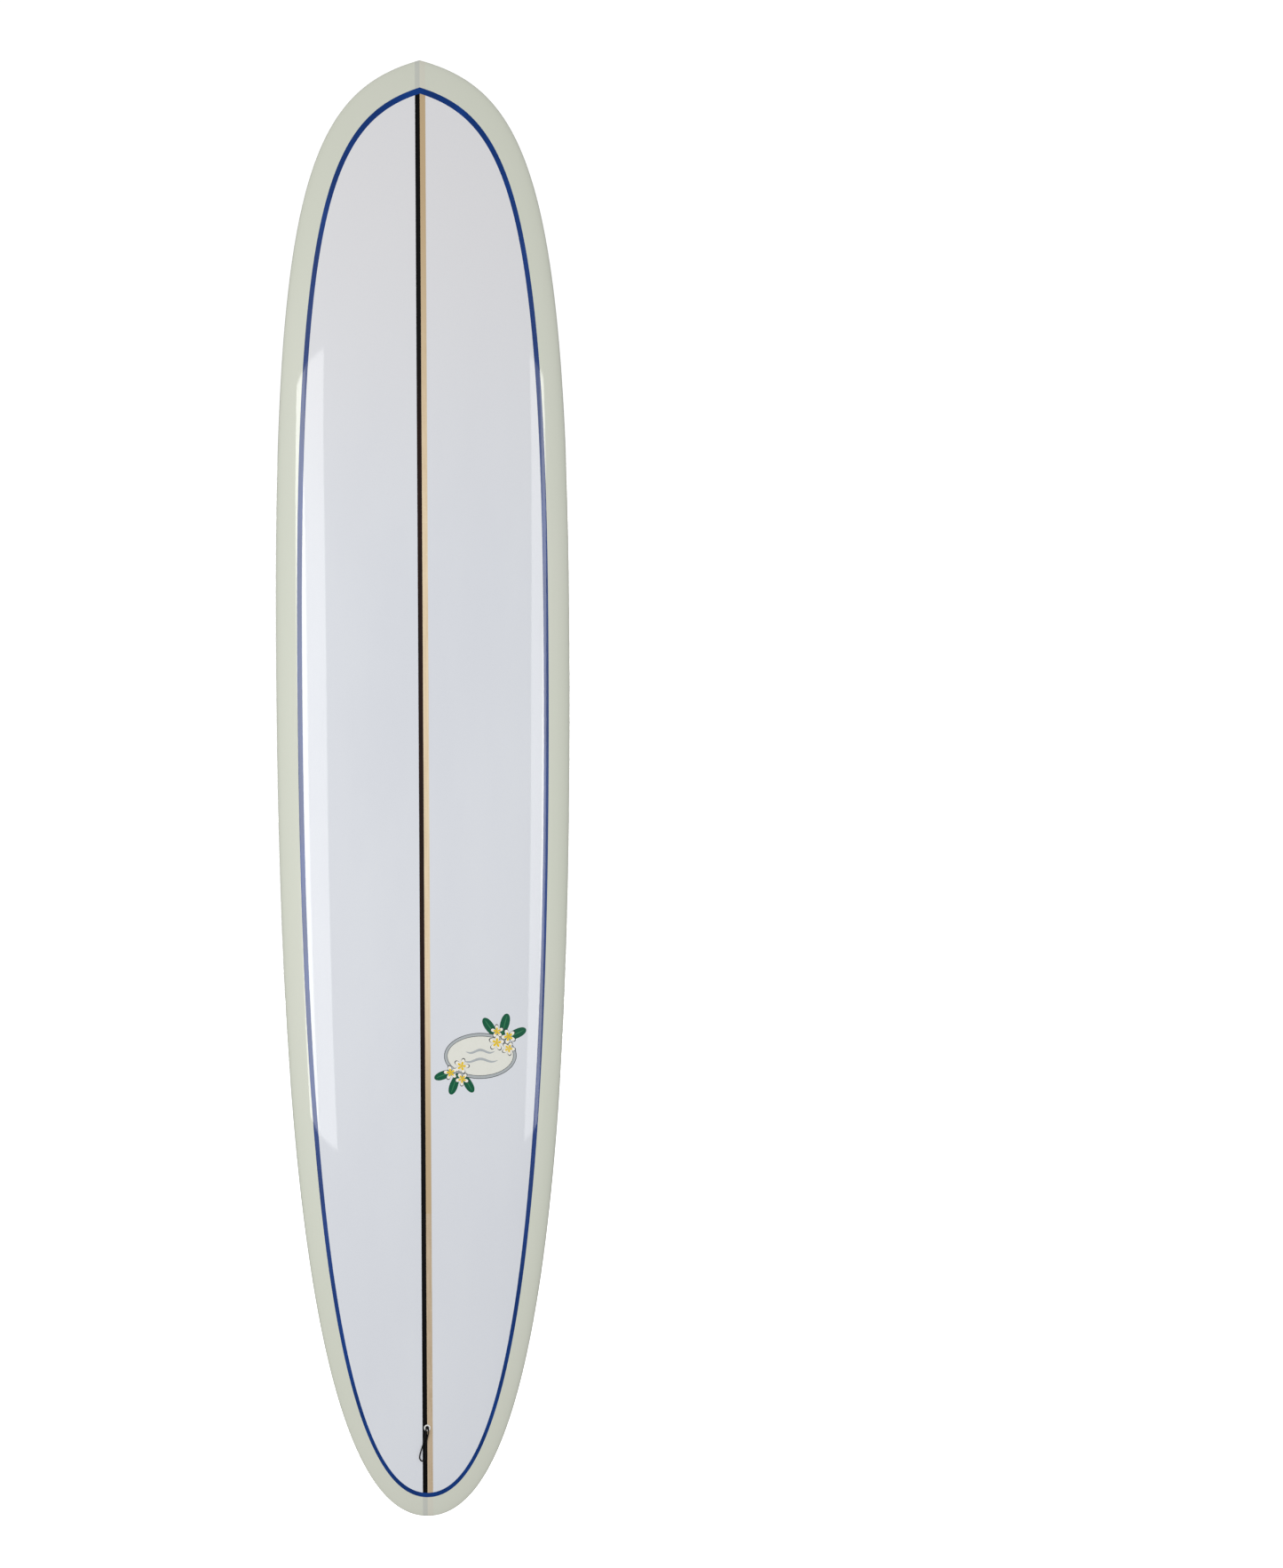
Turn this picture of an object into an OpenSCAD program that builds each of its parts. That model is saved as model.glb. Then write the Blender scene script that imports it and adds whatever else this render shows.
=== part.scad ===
// A classic longboard surfboard, standing on end: nose up, deck towards -Y, bottom towards +Y.
// The origin is the middle of the fin slot's mouth, on the bottom skin, and Z runs from tail to nose.
// The skin is a set of rings. A ring runs once round the board, and its share says how far out it
// lies: 1 on the rail, 0 on the spine, a slit along the centre line. Each layer of glass and resin
// is the same skin moved inwards by its depth, so the layers nest.

/* [Board] */
// Length from tail tip to nose tip
board_l = 2896; // [2800:1:3050]
// Width at the wide point
board_w = 598; // [580:1:640]
// Thickness at the thickest point
board_t = 76; // [72:1:84]
// Thickness that the foil tapers to at both tips, before the rail rounds it
tip_t = 22; // [21:1:26]
// Lift of the nose tip above the flattest part of the bottom
nose_rocker = 120; // [80:1:150]
// Lift of the tail tip above the flattest part of the bottom
tail_rocker = 95; // [60:1:110]

/* [Outline] */
// Distance from the tail tip to the wide point
wide_at = 1750; // [1650:1:1850]
// Fullness of the tail tip: how far its curve first runs straight out to the side
tail_round = 280; // [240:1:300]
// Distance from the tail tip at which the tail curve levels out at full width
tail_pull = 1130; // [1000:10:1250]
// Where the nose curve begins to leave full width
nose_run = 2670; // [2550:1:2750]
// Where the nose curve turns in towards the point
nose_turn = 2840; // [2800:1:2880]
// Half-width at that turn
nose_turn_w = 215; // [190:1:260]

/* [Rail] */
// Exponent of the deck's dome: higher is flatter, with a fuller rail
deck_dome = 2.5; // [2.2:0.1:3]
// Exponent of the bottom's belly
bottom_belly = 3.2; // [2.6:0.1:4]
// Share of the thickness that lies below the rail's widest line
rail_share = 0.45; // [0.4:0.01:0.5]

/* [Glass and resin] */
// Thickness of the gloss coat
gloss_t = 0.2; // [0.15:0.05:0.3]
// Thickness of the pinline, the emblems and the tail patch, under the gloss
trim_t = 0.12; // [0.1:0.01:0.15]
// Thickness of each glass laminate where the two lap
laminate_t = 0.44; // [0.4:0.02:0.6]
// Width of the tinted band round the nose tip
band_nose = 60; // [50:1:70]
// Width of the tinted band at the wide point
band_side = 50; // [40:1:56]
// Width of the tinted band round the tail tip
band_tail = 44; // [36:1:54]
// Width of the pinline
pinline_w = 10; // [6:0.5:12]
// Distance from the tail tip to the tail patch's straight edge
tail_patch_l = 176; // [140:1:220]

/* [Stringer] */
// Thickness of the dark strip, left of the glue line as seen from the deck
dark_w = 9.5; // [8:0.5:10]
// Thickness of the light strip, right of the glue line
light_w = 11; // [10:0.5:12]
// Distance from the tail tip to the joint in the light strip, on the deck
scarf_at = 600; // [500:10:900]
// Run of that scarf joint from deck to bottom
scarf_run = 40; // [20:5:60]

/* [Fin box] */
// Distance from the tail tip to the middle of the fin box
fin_at = 262; // [255:1:275]
// Length of the fin box
box_l = 260; // [254:1:266]
// Width of the fin box
box_w = 30; // [28:1:32]
// Depth of the fin box
box_d = 19; // [18.5:0.1:19.5]
// Corner radius of the fin box, seen from the bottom
box_r = 6; // [4:1:8]
// Length of the fin slot
slot_l = 242; // [236:1:246]
// Width of the fin slot
slot_w = 9; // [8:0.1:10]
// Depth of the fin slot
slot_d = 17; // [16.5:0.1:17]
// Width of the undercut track that holds the nut plate
track_w = 12.9; // [12.7:0.1:13.2]
// Depth of the undercut track's roof
track_top = 8.4; // [8:0.1:9]
// Height of the undercut track
track_h = 3.6; // [3.5:0.1:4]
// Length of the nut plate, with its round ends
plate_l = 24.8; // [20:0.1:30]
// Width of the nut plate
plate_w = 12.4; // [12:0.1:12.5]
// Thickness of the nut plate
plate_t = 3.2; // [3:0.1:3.3]
// Width across the notch where the nut plate goes in
notch_w = 17; // [16:0.5:18]
// Length of that notch along the slot
notch_l = 4.2; // [4:0.1:5]

/* [Leash plug] */
// Distance from the tail tip to the leash plug
plug_at = 177; // [165:1:180]
// Outside diameter of the plug's cup
cup_d = 13; // [12.5:0.1:13.5]
// Bore of the plug's cup
cup_bore = 8; // [8:0.1:8.4]
// Depth of the plug's cup
cup_depth = 12.6; // [12.4:0.1:12.8]
// Diameter of the pin across the cup
pin_d = 2; // [1.8:0.1:2]
// Diameter of the leash string
string_d = 2.5; // [2.3:0.1:2.6]

/* [Hidden] */

// Gap between bonded pieces, a film of glue
bond = 0.02;
glue = 0.05;
half_w = board_w / 2;
// Longer than the board in every direction, for cutting solids
beyond = 4000;

// ---- outline ----

// Pieces that each of the outline's two curves is cut into, and how much shorter at the tail tip
cuts = 14;
tail_bias = 1.3;
tail_curve = [[0, 0], [0, tail_round], [tail_pull, half_w], [wide_at, half_w]];
nose_curve = [[wide_at, half_w], [nose_run, half_w], [nose_turn, nose_turn_w], [board_l, 0]];

function on_curve(c, t) =
    pow(1 - t, 3) * c[0] + 3 * pow(1 - t, 2) * t * c[1] + 3 * (1 - t) * t * t * c[2] + pow(t, 3) * c[3];
function along_curve(c, t) =
    pow(1 - t, 2) * (c[1] - c[0]) + 2 * (1 - t) * t * (c[2] - c[1]) + t * t * (c[3] - c[2]);

// One side of the outline from tail tip to nose tip: [station, half-width, outward direction]
function rail_point(c, t) =
    let (p = on_curve(c, t), v = along_curve(c, t), n = norm(v))
    [p[0], p[1], -v[1] / n, v[0] / n];
side = concat(
    [for (k = [0 : cuts - 1]) rail_point(tail_curve, pow(k / cuts, tail_bias))],
    [for (k = [0 : cuts - 1]) rail_point(nose_curve, k / cuts)],
    [[board_l, 0, 1, 0]]
);
tips = len(side) - 1;
around = 2 * tips;
function mirrored(p) = [p[0], -p[1], p[2], -p[3]];
// The whole outline, up the right side and down the left
rail = [for (k = [0 : around - 1]) k <= tips ? side[k] : mirrored(side[around - k])];

// ---- rocker and foil ----

flat_at = 0.53 * board_l;
thick_at = 0.52 * board_l;

function rocker(s) = s < flat_at
    ? tail_rocker * pow((flat_at - s) / flat_at, 2.3)
    : nose_rocker * pow((s - flat_at) / (board_l - flat_at), 2.6);
function foil(s) =
    let (w = abs(s - thick_at) / (s < thick_at ? thick_at : board_l - thick_at))
    tip_t + (board_t - tip_t) * pow(max(0, 1 - pow(w, 2.2)), 0.85);
// Y of the bottom's centre line, were the rail not rounded round the tips
function keel(s) = rocker(fin_at) - rocker(s);

// ---- skin ----

// Share of the pinline's edges and of the deck laminate's edge on the bottom
band_share = 1 - band_side / half_w;
pin_outer = band_share + pinline_w / 2 / half_w;
pin_inner = band_share - pinline_w / 2 / half_w;
lap_share = 0.8;
// The spine is shorter than the board by the tips' share of the tinted band
spine_k = (band_nose + band_tail) / (1 - band_share) / board_l;
spine_mid = band_tail / (1 - band_share) / spine_k;
spine_tail = spine_k * spine_mid;
spine_nose = spine_k * (board_l - spine_mid);

function curve_down(u, n) = pow(max(0, 1 - pow(u, n)), 1 / n);

// A point of the skin: k-th place round the board, on the deck or the bottom, at share u, depth d
function skin(k, deck, u, d) =
    let (
        r = rail[k],
        s = spine_mid + (r[0] - spine_mid) * (1 - (1 - u) * spine_k),
        rise = (deck ? 1 - rail_share : rail_share) * foil(s),
        n = deck ? deck_dome : bottom_belly,
        h = curve_down(u, n),
        lean = atan2(pow(h, n - 1) / rise, pow(u, n - 1) / half_w),
        out = cos(lean) * d,
        y = keel(s) - rail_share * foil(s) + (deck ? -1 : 1) * (rise * h - sin(lean) * d)
    )
    [u * r[1] - out * r[3], y, s - out * r[2] - fin_at];

// Share of the ring that crosses the centre line at a station
function centre_share(s) = max(0, 1 - s / spine_tail, 1 - (board_l - s) / spine_nose);
// Y of the skin on the centre line
function bottom_line(s) =
    keel(s) - rail_share * foil(s) * (1 - curve_down(centre_share(s), bottom_belly));
function deck_line(s) =
    keel(s) - foil(s) * (rail_share + (1 - rail_share) * curve_down(centre_share(s), deck_dome));

// A solid from rings [deck?, share, depth], which run outwards on the layer's outer face and come
// back on its inner face. It is closed at a slit ring of share 0 at both ends, or else its last ring
// meets its first. Each patch between two rings is split from its inner ring to its outer ring, the
// same way in every layer, so that the layers nest.
module shell(rings) {
    count = len(rings);
    open_chain = rings[0][1] == 0;
    from_deck = rings[0][0];
    function facing(f) = from_deck ? f : [f[2], f[1], f[0]];
    function vertex(r, k) =
        let (m = k % around, row = r % count)
        row * around + (rings[row][1] == 0 ? min(m, around - m) : m);
    polyhedron(
        points = [for (r = rings, k = [0 : around - 1]) skin(k, r[0], r[1], r[2])],
        faces = [
            for (r = [0 : open_chain ? count - 2 : count - 1], k = [0 : around - 1])
                let (
                    a = vertex(r, k), b = vertex(r, k + 1), c = vertex(r + 1, k + 1), e = vertex(r + 1, k),
                    outwards = rings[r][1] <= rings[(r + 1) % count][1],
                    halves = outwards ? [[a, b, c], [a, c, e]] : [[a, b, e], [b, c, e]]
                )
                for (f = halves) if (f[0] != f[1] && f[1] != f[2]) facing(f)
        ]
    );
}

function ring_run(deck, shares, d) = [for (u = shares) [deck, u, d]];
function backwards(list) = [for (k = [len(list) - 1 : -1 : 0]) list[k]];

// Shares of the rings from the centre to the rail
deck_panel = [0, 0.26, 0.5, 0.72, pin_inner];
deck_band = [pin_outer, 0.92, 0.96, 0.99];
bottom_panel = [0, 0.36, 0.62, lap_share];
bottom_band = [0.9, 0.96, 0.99];
// Share that keeps the edges of two laminates apart where one laps the other
hair = 0.0004;

// Depths of the layers, from the outside in
trim_d = gloss_t + bond;
laminate_d = trim_d + trim_t + bond;
mid_out = laminate_d + laminate_t;
mid_in = mid_out + bond;
laminate_in = mid_in + laminate_t;
foam_d = laminate_in + bond;

// Everything inside the glass
module core() {
    shell(concat(
        ring_run(true, concat(deck_panel, deck_band), foam_d),
        [[true, 1, foam_d]],
        ring_run(false, backwards(concat(bottom_panel, bottom_band)), foam_d)
    ));
}

// ---- fin box and leash plug frames ----

function slope(a, b) = atan((b - a) / 2);
fin_tilt = slope(bottom_line(fin_at - 1), bottom_line(fin_at + 1));
plug_y = deck_line(plug_at);
plug_tilt = slope(deck_line(plug_at - 1), deck_line(plug_at + 1));
bed_t = 1.5;

// Y out of the bottom skin, Z along the fin slot
module at_fin_box() { rotate([-fin_tilt, 0, 0]) children(); }

// Z out of the deck, Y towards the nose, X to the right
module at_plug() {
    translate([0, plug_y, plug_at - fin_at]) rotate([90 - plug_tilt, 0, 0]) children();
}

// A bar along the fin box with round corners, from depth a to depth b below the skin
module slot_bar(length, width, radius, a, b) {
    rotate([90, 0, 0]) translate([0, 0, a]) linear_extrude(height = b - a)
        union() {
            square([width - 2 * radius, length], center = true);
            square([width, length - 2 * radius], center = true);
            for (x = [-1, 1], z = [-1, 1])
                translate([x * (width / 2 - radius), z * (length / 2 - radius)]) circle(radius, $fn = 48);
        }
}

// Clears the fin box, with a margin all round, out through the skin
module fin_pocket(margin) {
    at_fin_box() slot_bar(box_l + 2 * margin, box_w + 2 * margin, box_r + margin, -10, box_d + margin);
}

// Clears the leash plug, with a margin all round, out through the skin
module plug_pocket(margin) {
    at_plug() translate([0, 0, -cup_depth - margin])
        cylinder(h = cup_depth + margin + 10, d = cup_d + 2 * margin, $fn = 64);
}

module slab(x0, x1) { translate([x0, -beyond, -beyond]) cube([x1 - x0, 2 * beyond, 2 * beyond]); }
module below(z) { translate([-beyond, -beyond, z - 2 * beyond]) cube(2 * beyond); }

// ---- blank ----

module foam_left() {
    color("snow") difference() {
        intersection() { core(); slab(-half_w, -dark_w - glue); }
        fin_pocket(bed_t + glue);
    }
}

module foam_right() {
    color("whitesmoke") difference() {
        intersection() { core(); slab(light_w + glue, half_w); }
        fin_pocket(bed_t + glue);
    }
}

module strip(x0, x1) {
    difference() {
        intersection() { core(); slab(x0, x1); }
        fin_pocket(bed_t + glue);
        plug_pocket(bed_t + glue);
    }
}

// The scarf's slanted plane, from below
module below_scarf(gap) {
    translate([0, deck_line(scarf_at), scarf_at - fin_at - gap]) rotate([-atan(scarf_run / board_t), 0, 0])
        below(0);
}

module stringer_dark() { color("#28140c") strip(-dark_w, -glue / 2); }
module stringer_light_aft() {
    color("#b89b70") intersection() { strip(glue / 2, light_w); below_scarf(glue); }
}
module stringer_light_fore() {
    color("#e1c39b") difference() { strip(glue / 2, light_w); below_scarf(0); }
}

// ---- glass ----

// Clear cloth over the deck and round the rails, lapping onto the bottom
module deck_laminate() {
    color("#d6d8de", 0.6) difference() {
        shell(concat(
            ring_run(true, concat(deck_panel, deck_band), laminate_d),
            [[true, 1, laminate_d]],
            ring_run(false, backwards(concat([lap_share + hair], bottom_band)), laminate_d),
            ring_run(false, concat([lap_share + hair], bottom_band), mid_out),
            [[true, 1, mid_out]],
            ring_run(true, backwards(concat([pin_inner], deck_band)), mid_out),
            ring_run(true, backwards(deck_panel), laminate_in)
        ));
        plug_pocket(glue);
    }
}

// Tinted cloth over the bottom and round the rails, cut off on the deck under the pinline
module bottom_laminate() {
    color("#cfcdba") difference() {
        shell(concat(
            ring_run(false, bottom_panel, laminate_d),
            ring_run(false, concat([lap_share], bottom_band), mid_in),
            [[true, 1, mid_in]],
            ring_run(true, backwards(concat([pin_inner + hair], deck_band)), mid_in),
            ring_run(true, concat([pin_inner + hair], deck_band), laminate_in),
            [[true, 1, laminate_in]],
            ring_run(false, backwards(concat(bottom_panel, bottom_band)), laminate_in)
        ));
        fin_pocket(glue);
    }
}

// Coloured resin line over the laminate's cut edge
module pinline() {
    color("#012d78") shell([
        [true, pin_inner, trim_d], [true, pin_outer, trim_d],
        [true, pin_outer, trim_d + trim_t], [true, pin_inner, trim_d + trim_t]
    ]);
}

// A thin sheet under the gloss, for what lies there
module trim_sheet(deck, shares) {
    shell(concat(
        ring_run(deck, shares, trim_d),
        ring_run(deck, backwards(shares), trim_d + trim_t)
    ));
}

module tail_patch() {
    color("#c9c4b0") difference() {
        intersection() { trim_sheet(false, bottom_panel); below(tail_patch_l - fin_at); }
        fin_pocket(glue);
    }
}

module deck_gloss() {
    color("#e4e6ea", 0.4) difference() {
        shell(concat(
            ring_run(true, concat(deck_panel, deck_band), 0),
            [[true, 1, 0], [true, 1, gloss_t]],
            ring_run(true, backwards(concat(deck_panel, deck_band)), gloss_t)
        ));
        plug_pocket(glue);
    }
}

module bottom_gloss() {
    color("#dcd8c8", 0.4) difference() {
        shell(concat(
            ring_run(false, concat(bottom_panel, bottom_band), 0),
            [[false, 1 - hair / 4, 0], [false, 1 - hair / 4, gloss_t]],
            ring_run(false, backwards(concat(bottom_panel, bottom_band)), gloss_t)
        ));
        fin_pocket(glue);
    }
}

// ---- emblems ----

// Middle of each emblem: across from the centre line, and up from the tail tip
deck_emblem_at = [111, 914];
bottom_emblem_at = [0, 815];

module oval(w, h) { polygon([for (a = [0 : 12 : 359]) [w / 2 * cos(a), h / 2 * sin(a)]]); }
module leaf(length, width) {
    polygon([for (a = [0 : 15 : 359]) [length / 2 * (1 - cos(a)), width / 2 * sin(a) * abs(sin(a / 2))]]);
}
module bloom(r) {
    for (a = [0 : 60 : 359]) rotate(a) translate([r * 0.56, 0]) circle(r * 0.44, $fn = 24);
    circle(r * 0.5, $fn = 24);
}

// A plain oval with a spray of leaves and two blooms
module deck_emblem_shape() {
    oval(146, 92);
    for (a = [25, 75, 125]) translate([40, 28]) rotate(a) leaf(58, 24);
    for (a = [200, 250, 300]) translate([-42, -26]) rotate(a) leaf(54, 22);
    translate([44, 30]) bloom(27);
    translate([-46, -28]) bloom(24);
}

// Pushes a flat shape through the board, so that a sheet of trim can be cut to it
module through(at) {
    translate([at[0], beyond, at[1] - fin_at]) rotate([90, 0, 0])
        linear_extrude(height = 2 * beyond) children();
}

module deck_emblem() {
    color("#e8dfc4") intersection() {
        trim_sheet(true, deck_panel);
        through(deck_emblem_at) deck_emblem_shape();
    }
}

// An oval laid in two halves, one each side of the centre line
module bottom_emblem() {
    split = 0.5;
    color("#be822b") for (x = [split, -split - half_w]) intersection() {
        trim_sheet(false, bottom_panel);
        through(bottom_emblem_at) intersection() {
            oval(302, 119);
            translate([x, -half_w / 2]) square(half_w);
        }
    }
}

// ---- fin box ----

// The fin box's side view, with its top sanded to the skin: [depth axis Y, length axis Z]
box_top = [
    for (k = [0 : 12])
        let (s = fin_at + box_l * 1.02 * (k / 12 - 0.5), y = bottom_line(s), z = s - fin_at)
        [y * cos(fin_tilt) - z * sin(fin_tilt), y * sin(fin_tilt) + z * cos(fin_tilt)]
];

// Everything in the box's frame below the skin and above a depth
module under_skin(depth) {
    translate([-box_w, 0, 0]) rotate([90, 0, 90]) linear_extrude(height = 2 * box_w)
        polygon(concat(box_top, [[-depth, box_top[12][1]], [-depth, box_top[0][1]]]));
}

module fin_box() {
    color("#f4f0ec") at_fin_box() difference() {
        intersection() {
            slot_bar(box_l, box_w, box_r, -10, box_d);
            under_skin(box_d + 5);
        }
        slot_bar(slot_l, slot_w, 1.5, -10, slot_d);
        slot_bar(track_l, track_w, 1.5, track_top, track_top + track_h);
        slot_bar(notch_l, notch_w, 1, -10, track_top + track_h);
    }
}

// The resin and cloth that the box is set in
module fin_box_bed() {
    color("#d9d2b8") difference() {
        intersection() { core(); fin_pocket(bed_t); }
        fin_pocket(glue);
        plug_pocket(bed_t + glue);
    }
}

// The plate is parked at the tail end of its track
track_stop = 4.4;
track_l = slot_l - 2 * track_stop;
track_slack = 0.1;
plate_z = -track_l / 2 + plate_l / 2 + track_slack;
plate_top = track_top + 0.2;
screw_d = 4.1;
screw_hole_d = 4.2;

module at_plate() { at_fin_box() translate([0, -plate_top, plate_z]) rotate([-90, 0, 0]) children(); }

// Z out of the bottom from the plate's outer face
module fin_plate() {
    color("#141416") at_plate() difference() {
        translate([0, 0, -plate_t]) linear_extrude(height = plate_t) union() {
            square([plate_w, plate_l - plate_w], center = true);
            for (z = [-1, 1]) translate([0, z * (plate_l - plate_w) / 2]) circle(d = plate_w, $fn = 64);
        }
        translate([0, 0, -plate_t - 1]) cylinder(h = plate_t + 2, d = screw_hole_d, $fn = 48);
    }
}

head_d = 7.6;
head_h = 2.6;
head_gap = 0.3;
screw_l = 7.5;

module fin_screw() {
    color("#1c1c1f") at_plate() difference() {
        union() {
            translate([0, 0, head_gap]) cylinder(h = head_h, d = head_d, $fn = 64);
            translate([0, 0, head_gap - screw_l]) cylinder(h = screw_l + 0.5, d = screw_d, $fn = 48);
        }
        for (a = [0, 90]) rotate(a)
            translate([-2.4, -0.6, head_gap + head_h - 1.3]) cube([4.8, 1.2, 2]);
    }
}

// ---- leash plug ----

pin_l = 11;
pin_depth = 3.6;
pin_fit = 0.02;
cup_floor = 1;

module leash_cup() {
    color("#f2f1ee") at_plug() difference() {
        translate([0, 0, -cup_depth]) cylinder(h = cup_depth, d = cup_d, $fn = 64);
        translate([0, 0, -cup_depth + cup_floor]) cylinder(h = cup_depth + 1, d = cup_bore, $fn = 64);
        translate([0, 0, -pin_depth]) rotate([90, 0, 0])
            cylinder(h = pin_l + 2 * pin_fit, d = pin_d + 2 * pin_fit, center = true, $fn = 32);
    }
}

// The resin that the cup is set in, under the glass
module leash_cup_bed() {
    color("#d9d2b8") difference() {
        intersection() { core(); plug_pocket(bed_t); }
        plug_pocket(glue);
    }
}

// The pin lies along the board, so the string's two strands leave the cup side by side
module leash_pin() {
    color("#c9ccd0") at_plug() translate([0, 0, -pin_depth]) rotate([90, 0, 0])
        cylinder(h = pin_l, d = pin_d, center = true, $fn = 32);
}

// The string in the plug's frame: [right, towards the nose, out of the deck]. It comes out left of
// the pin, hangs towards the tail as a loop and goes back in right of the pin.
string_route = [
    [-2.3, 0, -5.2], [-2.3, 0, -2.9], [-2.4, -1.7, 1.3], [-2.6, -6, 3.1], [-3, -10.6, 2.6],
    [-3.8, -15.4, 1.9], [-5, -21, 1.6], [-7, -28, 1.6], [-9.4, -35, 1.6], [-11.8, -42, 1.5],
    [-13.9, -48.5, 1.4], [-15.3, -54.4, 1.3], [-15.6, -59.4, 1.2], [-13.8, -63.7, 1.2], [-9.6, -65.4, 1.2],
    [-5.4, -63.7, 1.2], [-3.6, -59.4, 1.2], [-3.5, -54.4, 1.3], [-3.6, -48.5, 1.4], [-3.4, -42, 1.5],
    [-2.8, -35, 1.6], [-1.8, -28, 1.6], [-0.4, -21, 1.6], [0.9, -15.4, 1.9], [1.8, -10.6, 2.6],
    [2.2, -6, 3.1], [2.3, -1.7, 1.3], [2.3, 0, -2.9], [2.3, 0, -5.2]
];
string_sides = 8;
rings_per_leg = 3;

// A smooth curve that the route's points pull into shape
function spline(p, k, t) =
    let (
        last = len(p) - 1,
        a = p[max(0, k - 1)], b = p[k], c = p[min(last, k + 1)], e = p[min(last, k + 2)],
        r = 1 - t
    )
    (r * r * r * a + (4 - 6 * t * t + 3 * t * t * t) * b + (4 - 6 * r * r + 3 * r * r * r) * c + t * t * t * e) / 6;
function smooth_route(p) = concat(
    [for (k = [0 : len(p) - 2], j = [0 : rings_per_leg - 1]) spline(p, k, j / rings_per_leg)],
    [p[len(p) - 1]]
);
function unit(v) = v / norm(v);

// A tube swept along a path, its rings turned the least from one to the next
module tube(path, d) {
    last = len(path) - 1;
    heads = [for (k = [0 : last]) unit(path[min(last, k + 1)] - path[max(0, k - 1)])];
    first_across = unit(cross(heads[0], [0, 1, 0]));
    across = [
        for (k = 0, v = first_across; k <= last;
            k = k + 1, v = k > last ? v : unit(v - (v * heads[k]) * heads[k])) v
    ];
    points = [
        for (k = [0 : last], j = [0 : string_sides - 1])
            let (a = 360 * j / string_sides)
            path[k] + d / 2 * (cos(a) * across[k] + sin(a) * cross(heads[k], across[k]))
    ];
    faces = concat(
        [[for (j = [0 : string_sides - 1]) j]],
        [
            for (k = [0 : last - 1], j = [0 : string_sides - 1])
                let (a = k * string_sides + j, b = k * string_sides + (j + 1) % string_sides)
                each [[a, a + string_sides, b], [b, a + string_sides, b + string_sides]]
        ],
        [[for (j = [string_sides - 1 : -1 : 0]) last * string_sides + j]]
    );
    polyhedron(points = points, faces = faces);
}

module leash_string() { color("#101012") at_plug() tube(smooth_route(string_route), string_d); }

// Both ends of the string are tied in a knot under the pin
knot_d = 6.2;
module leash_knot() {
    color("#0c0c0e") at_plug() translate([0, 0, -8.3]) sphere(d = knot_d, $fn = 48);
}

foam_left();
foam_right();
stringer_dark();
stringer_light_aft();
stringer_light_fore();
bottom_laminate();
deck_laminate();
tail_patch();
pinline();
deck_gloss();
bottom_gloss();
deck_emblem();
bottom_emblem();
fin_box();
fin_box_bed();
fin_plate();
fin_screw();
leash_cup();
leash_cup_bed();
leash_pin();
leash_string();
leash_knot();
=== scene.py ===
"""A classic glassed longboard, standing on end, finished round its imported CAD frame.

Sizes of the board are in millimetres, as in the CAD part, and MM turns them into the frame's metres.
The smooth skins follow the same formulas as the CAD part's skin.
"""

import math

import bmesh
import bpy
import numpy as np
from mathutils import Matrix, Vector


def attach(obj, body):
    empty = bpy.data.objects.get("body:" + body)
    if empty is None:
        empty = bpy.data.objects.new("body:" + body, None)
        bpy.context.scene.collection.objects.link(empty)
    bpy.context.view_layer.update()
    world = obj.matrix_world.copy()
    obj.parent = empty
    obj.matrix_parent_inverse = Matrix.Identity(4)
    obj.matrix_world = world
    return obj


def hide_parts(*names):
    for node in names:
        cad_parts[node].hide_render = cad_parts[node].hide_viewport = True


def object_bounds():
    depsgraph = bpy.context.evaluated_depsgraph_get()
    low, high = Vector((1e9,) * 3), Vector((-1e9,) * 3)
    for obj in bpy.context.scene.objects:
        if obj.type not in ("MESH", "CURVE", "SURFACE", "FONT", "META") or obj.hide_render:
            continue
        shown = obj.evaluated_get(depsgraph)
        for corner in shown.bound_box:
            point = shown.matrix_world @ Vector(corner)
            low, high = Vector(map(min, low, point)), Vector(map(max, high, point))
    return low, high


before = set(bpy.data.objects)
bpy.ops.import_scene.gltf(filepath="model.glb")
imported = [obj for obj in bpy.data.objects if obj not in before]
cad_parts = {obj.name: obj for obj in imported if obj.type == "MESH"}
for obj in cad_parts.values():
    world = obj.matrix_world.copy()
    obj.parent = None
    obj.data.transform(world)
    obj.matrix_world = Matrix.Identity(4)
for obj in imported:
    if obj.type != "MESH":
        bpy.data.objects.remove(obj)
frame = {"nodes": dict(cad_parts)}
cad_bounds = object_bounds()

MM = 0.001

# ---- board sizes, in millimetres ----

BOARD_L = 2896
HALF_W = 299
BOARD_T = 76
TIP_T = 22
NOSE_ROCKER = 120
TAIL_ROCKER = 95
DECK_DOME = 2.5
BOTTOM_BELLY = 3.2
RAIL_SHARE = 0.45
BAND_NOSE = 60
BAND_SIDE = 50
BAND_TAIL = 44
PINLINE_W = 10
TAIL_PATCH_L = 176
DARK_W = 9.5
LIGHT_W = 11
SCARF_AT = 600
FIN_AT = 262
BOX_L = 260
BOX_W = 30
BOX_R = 6
PLUG_AT = 177
CUP_D = 13
STRING_D = 2.5
KNOT_D = 6.2
KNOT_DEPTH = 8.3
FLAT_AT = 0.53 * BOARD_L
THICK_AT = 0.52 * BOARD_L
TAIL_LIFT_POWER = 2.3
NOSE_LIFT_POWER = 2.6
FOIL_POWER = 2.2
FOIL_FULLNESS = 0.85
DECK_EMBLEM_AT = (111, 914)
BOTTOM_EMBLEM_AT = (0, 815)

# ---- outline, rocker and skin ----

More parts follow.
